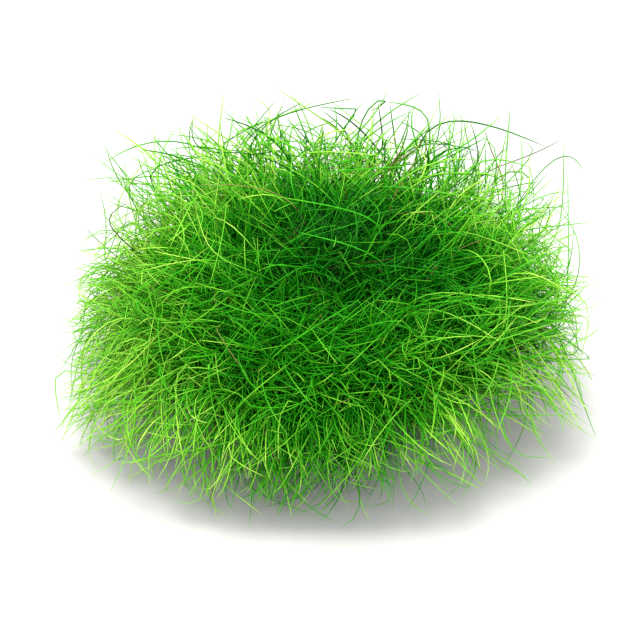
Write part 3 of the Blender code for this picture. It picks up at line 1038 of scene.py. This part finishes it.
    def sway(self, g: GrowthSketch, own: dict[str, bpy.types.NodeSocket], along: Term) -> bpy.types.NodeSocket:
        """Moves a leaf away from its lock's middle line: at its root, in an arc, and most at its tip.

        Args:
            g: the tree.
            own: the leaf's own numbers.
            along: the way from its root to its tip.

        Returns:
            The offset of each point.
        """
        offset = g.vectors("SCALE", own["root"], by=g.maths("SUBTRACT", 1.0, along))
        far = g.maths("MULTIPLY", g.maths("POWER", along, 2.2), own["length"])
        offset = g.vectors("ADD", offset, g.vectors("SCALE", own["tip"], by=far))
        hump = g.maths("MULTIPLY", g.maths("SINE", g.maths("MULTIPLY", along, math.pi)), own["length"])
        offset = g.vectors("ADD", offset, g.vectors("SCALE", own["bow"], by=hump))
        swing = g.maths("MULTIPLY", g.maths("SINE", g.maths("MULTIPLY", along, 2.0 * math.pi)), own["length"])
        offset = g.vectors("ADD", offset, g.vectors("SCALE", own["wave"], by=swing))
        place = g.node("GeometryNodeInputPosition").outputs["Position"]
        outwards = g.vectors("NORMALIZE", g.vectors("MULTIPLY", place, (1.0, 1.0, 0.0)))
        return g.vectors("ADD", offset, g.vectors("SCALE", outwards, by=g.maths("MULTIPLY", own["flick"], far)))

    def first_way_out(
        self, g: GrowthSketch, place: Term, own: dict[str, bpy.types.NodeSocket], points: Term
    ) -> bpy.types.NodeSocket:
        """Tells how far along a leaf its first point outside the room for it is.

        Args:
            g: the tree.
            place: the leaf's points.
            own: the leaf's own numbers.
            points: how many points it has.

        Returns:
            The share of its length up to there.
        """
        leaf = g.node("GeometryNodeCurveOfPoint").outputs["Curve Index"]
        outside = g.maths("SUBTRACT", 1.0, self.room(g, place, own))
        left = g.node("GeometryNodeAccumulateField", {"Value": outside, "Group Index": leaf}, data_type="FLOAT", domain="POINT")
        kept = g.spread(left.outputs["Leading"], 0.0, 1.0, 1.0, 0.0)
        kept = g.node("GeometryNodeAccumulateField", {"Value": kept, "Group Index": leaf}, data_type="FLOAT", domain="POINT")
        return g.maths("DIVIDE", g.maths("SUBTRACT", kept.outputs["Total"], 0.7), g.maths("SUBTRACT", points, 1.0))

    def room(self, g: GrowthSketch, place: Term, own: dict[str, bpy.types.NodeSocket]) -> bpy.types.NodeSocket:
        """Tells which points of a leaf are inside the mat's cushion, the solids' box and above the ground.

        Args:
            g: the tree.
            place: the points.
            own: the leaf's own numbers.

        Returns:
            1 inside and 0 outside.
        """
        out = g.vectors("SUBTRACT", place, (0.0, 0.0, self.cushion.middle))
        height = g.node("ShaderNodeSeparateXYZ", {"Vector": out}).outputs["Z"]
        flat = g.vectors("LENGTH", g.vectors("MULTIPLY", out, (1.0, 1.0, 0.0)))
        narrow = g.node(
            "ShaderNodeMapRange",
            {
                "Value": height,
                "From Min": self.cushion.low_edge - self.cushion.middle,
                "From Max": self.cushion.high_edge - self.cushion.middle,
                "To Min": 1.0,
                "To Max": own["shoulder"],
            },
        ).outputs["Result"]
        allowed = g.maths("MULTIPLY", own["reach"], narrow)
        sideways = g.maths("POWER", g.maths("DIVIDE", flat, allowed), self.cushion.shape)
        upwards = g.maths("DIVIDE", g.maths("ABSOLUTE", height), own["rise"])
        upwards = g.maths("POWER", upwards, self.cushion.shape)
        size = g.maths("POWER", g.maths("ADD", sideways, upwards), 1.0 / self.cushion.shape)
        stays = g.spread(g.maths("SUBTRACT", size, own["limit"]), -0.02, 0.02, 1.0, 0.0)
        low, high = self.box(g, own)
        spare = g.vectors("MINIMUM", g.vectors("SUBTRACT", place, low), g.vectors("SUBTRACT", high, place))
        spare = g.node("ShaderNodeSeparateXYZ", {"Vector": spare}).outputs
        least = g.maths("MINIMUM", g.maths("MINIMUM", spare["X"], spare["Y"]), spare["Z"])
        stays = g.maths("MULTIPLY", stays, g.spread(least, -0.5 * MM, 0.5 * MM, 0.0, 1.0))
        depth = g.maths("SUBTRACT", g.maths("ADD", height, self.cushion.middle), own["low"])
        return g.maths("MULTIPLY", stays, g.spread(depth, -0.5 * MM, 0.5 * MM, 0.0, 1.0))

    def box(
        self, g: GrowthSketch, own: dict[str, bpy.types.NodeSocket]
    ) -> tuple[bpy.types.NodeSocket, bpy.types.NodeSocket]:
        """Gives a leaf its own box, a little inside the solids', so that no flat side shows.

        Args:
            g: the tree.
            own: the leaf's own numbers.

        Returns:
            The box's lowest and highest corners.
        """
        low, high = CAD_BOX
        margin = 0.9 * MM
        inwards = g.vectors("SCALE", (1.0, 1.0, 0.0), by=own["spare"])
        lowest = g.vectors("ADD", tuple(value + margin for value in low), inwards)
        inwards = g.vectors("SCALE", (1.0, 1.0, 0.4), by=own["spare"])
        return lowest, g.vectors("SUBTRACT", tuple(value - margin for value in high), inwards)

    def boxed(self, g: GrowthSketch, place: Term, own: dict[str, bpy.types.NodeSocket]) -> bpy.types.NodeSocket:
        """Gives the nearest place in the leaf's own box."""
        low, high = self.box(g, own)
        return g.vectors("MINIMUM", g.vectors("MAXIMUM", place, low), high)

    def past_rim(self, g: GrowthSketch, place: Term, path: Term) -> bpy.types.NodeSocket:
        """Lifts a leaf over the bowl's rim and keeps its hanging part outside the wall and off the ground.

        Args:
            g: the tree.
            place: where the leaf's point would be.
            path: the point of the lock's middle line that it belongs to.

        Returns:
            The place, clear of the bowl.
        """
        rim, top = self.bowl.rim_radius, self.bowl.height
        parts = g.node("ShaderNodeSeparateXYZ", {"Vector": place}).outputs
        level = g.vectors("MULTIPLY", place, (1.0, 1.0, 0.0))
        flat = g.maths("MAXIMUM", g.vectors("LENGTH", level), 0.1 * MM)
        climb = g.spread(flat, rim - 9.5 * MM, rim - 4.0 * MM, top - 9.0 * MM, top + 1.8 * MM)
        drop = g.spread(flat, rim + 1.5 * MM, rim + 7.0 * MM, top + 1.8 * MM, -30.0 * MM)
        lifted = g.maths("SMOOTH_MAX", parts["Z"], g.maths("MINIMUM", climb, drop), 3.0 * MM)
        lifted = g.maths("MAXIMUM", lifted, parts["Z"])
        wall = g.spread(parts["Z"], top + 1.0 * MM, top + 7.0 * MM, rim + 1.6 * MM, 0.0)
        pushed = g.maths("SMOOTH_MAX", flat, wall, 3.0 * MM)
        outside = g.vectors("LENGTH", g.vectors("MULTIPLY", path, (1.0, 1.0, 0.0)))
        outside = g.spread(outside, rim - 2.0 * MM, rim + 1.0 * MM, 0.0, 1.0)
        stretch = g.maths("DIVIDE", pushed, flat)
        stretch = g.maths("MULTIPLY_ADD", g.maths("SUBTRACT", stretch, 1.0), outside, 1.0)
        level = g.vectors("SCALE", level, by=stretch)
        lift = g.maths("MULTIPLY", g.maths("SUBTRACT", lifted, parts["Z"]), g.maths("SUBTRACT", 1.0, outside))
        height = g.maths("SMOOTH_MAX", g.maths("ADD", parts["Z"], lift), 1.8 * MM, 5.0 * MM)
        return g.vectors("ADD", level, g.node("ShaderNodeCombineXYZ", {"Z": height}).outputs["Vector"])

    def build(self, finish: bpy.types.Material) -> bpy.types.Object:
        """Grows the leaves and lets them stand for their tufts."""
        leaves = self.tree(finish).grow(self.guides(), self.name)
        report(leaves, self.nodes)
        return leaves


@dataclass
class Mat:
    """All the grass: the heart, the rings round it and the leaves that hang over the rim."""

    bowl: Bowl
    cushion: Cushion

    def groups(self) -> list[LeafBundles]:
        """Splits the rings into pieces that hold about as many leaves each."""
        heart = Ring.CENTRE.nodes() + Ring.INNER.nodes()
        made = [
            LeafBundles("hairgrass_heart", heart, Ring.INNER, self.bowl, self.cushion, leaves=37, seed=11),
            LeafBundles("hairgrass_middle", Ring.MIDDLE.nodes(), Ring.MIDDLE, self.bowl, self.cushion, seed=31),
        ]
        outer, rim = Ring.OUTER.nodes(), Ring.RIM.nodes()
        for count, nodes in enumerate((outer[:7], outer[7:])):
            made.append(
                LeafBundles(f"hairgrass_outer_{count + 1}", nodes, Ring.OUTER, self.bowl, self.cushion, seed=51 + 20 * count)
            )
        for count in range(4):
            nodes = rim[5 * count : 5 * count + 5]
            made.append(
                LeafBundles(f"hairgrass_rim_{count + 1}", nodes, Ring.RIM, self.bowl, self.cushion, seed=111 + 20 * count)
            )
        return made

    def build(self) -> list[bpy.types.Object]:
        """Grows every group with one finish."""
        finish = LeafFinish().material()
        return [group.build(finish) for group in self.groups()]


# ---- the studio


@dataclass(frozen=True)
class View:
    """The camera's place, worked out from where the photograph shows the bowl's middle."""

    frame_side: float = 640.0
    origin_right: float = 328.0
    origin_down: float = 388.0
    elevation: float = 30.0 * DEGREE
    distance: float = 0.8
    lens: float = 125.0
    sensor: float = 36.0

    def build(self) -> bpy.types.Object:
        """Sets up the camera."""
        data = bpy.data.cameras.new("camera")
        data.lens = self.lens
        data.sensor_width = self.sensor
        data.clip_start = 0.01
        camera = bpy.data.objects.new("camera", data)
        bpy.context.scene.collection.objects.link(camera)
        pixel = self.distance * self.sensor / (self.lens * self.frame_side)
        sideways = (self.origin_right - self.frame_side / 2.0) * pixel
        down = (self.origin_down - self.frame_side / 2.0) * pixel
        forward = Vector((0.0, math.cos(self.elevation), -math.sin(self.elevation)))
        up = Vector((0.0, math.sin(self.elevation), math.cos(self.elevation)))
        camera.location = -forward * self.distance - Vector((1.0, 0.0, 0.0)) * sideways + up * down
        camera.rotation_euler = (math.pi / 2.0 - self.elevation, 0.0, 0.0)
        bpy.context.scene.camera = camera
        return camera


@dataclass(frozen=True)
class Lamp:
    """One soft area light that points at the grass."""

    name: str
    place: tuple[float, float, float]
    size: float
    power: float
    colour: Colour = (1.0, 1.0, 1.0)

    def build(self) -> bpy.types.Object:
        """Hangs the light."""
        data = bpy.data.lights.new(self.name, "AREA")
        data.shape = "DISK"
        data.size = self.size
        data.energy = self.power
        data.color = self.colour
        lamp = bpy.data.objects.new(self.name, data)
        lamp.location = self.place
        aim = Vector((0.0, 0.0, 0.03)) - Vector(self.place)
        lamp.rotation_euler = aim.to_track_quat("-Z", "Y").to_euler()
        bpy.context.scene.collection.objects.link(lamp)
        return lamp


@dataclass
class Studio:
    """A pale floor in soft light, most of it from behind and above."""

    floor_side: float = 6.0
    world_light: float = 1.25
    lamps: tuple[Lamp, ...] = (
        Lamp("key", (-0.12, 0.20, 1.30), 0.70, 28.0, (1.0, 0.99, 0.97)),
        Lamp("front_fill", (0.1, -1.25, 0.85), 0.9, 14.0),
    )

    def build(self) -> None:
        """Lays the floor, hangs the lights and sets the world's light."""
        half = self.floor_side / 2.0
        mesh = bpy.data.meshes.new("floor")
        mesh.from_pydata([(-half, -half, 0), (half, -half, 0), (half, half, 0), (-half, half, 0)], [], [(0, 1, 2, 3)])
        floor = link("floor", mesh)
        floor.data.materials.append(FloorFinish().material())
        for lamp in self.lamps:
            lamp.build()
        world = bpy.data.worlds.new("studio")
        world.use_nodes = True
        background = world.node_tree.nodes["Background"]
        background.inputs["Color"].default_value = (1.0, 1.0, 1.0, 1.0)
        background.inputs["Strength"].default_value = self.world_light
        scene = bpy.context.scene
        scene.world = world
        scene.view_settings.view_transform = "Standard"
        scene.view_settings.look = "None"


def main() -> None:
    """Builds the studio, the bowl, the soil and the grass."""
    logging.basicConfig(level=logging.INFO, format="%(message)s")
    View().build()
    Studio().build()
    bowl = Bowl.from_frame()
    bowl.build()
    Soil(bowl).build()
    Mat(bowl, Cushion()).build()


if __name__ == "__main__":
    main()
